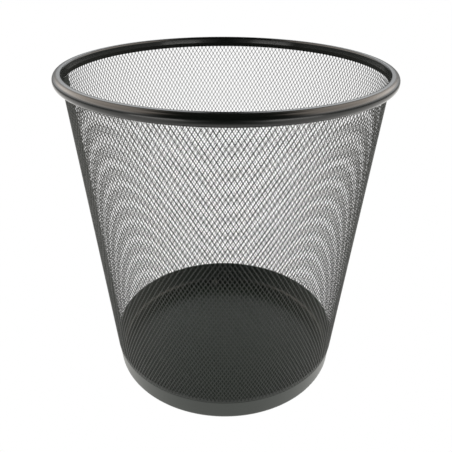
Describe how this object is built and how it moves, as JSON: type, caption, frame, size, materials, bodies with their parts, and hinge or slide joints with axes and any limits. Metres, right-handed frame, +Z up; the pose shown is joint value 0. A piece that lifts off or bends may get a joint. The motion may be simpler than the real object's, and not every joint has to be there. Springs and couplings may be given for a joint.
{
  "type": "wastebasket",
  "caption": "Round open wastebasket: tapered black metal mesh wall, thick rolled steel rim and a solid pressed steel base.",
  "frame": {"origin": "middle of the ring that the basket stands on, at floor level", "axes": "+Z up along the basket's axis, -Y towards the front, the seam on the -X side"},
  "size_m": [0.295, 0.295, 0.3071],
  "materials": {
    "rim_coat": "fine satin powder coat, semi-gloss",
    "mesh_coat": "fine satin powder coat",
    "base_coat": "fine satin powder coat"
  },
  "bodies": {
    "root": {"top_rim": "rim_coat", "mesh_wall": "mesh_coat", "seam_strip": "mesh_coat", "seam_welds": "mesh_coat", "base_pan": "base_coat", "base_band": "base_coat"}
  },
  "joints": []
}
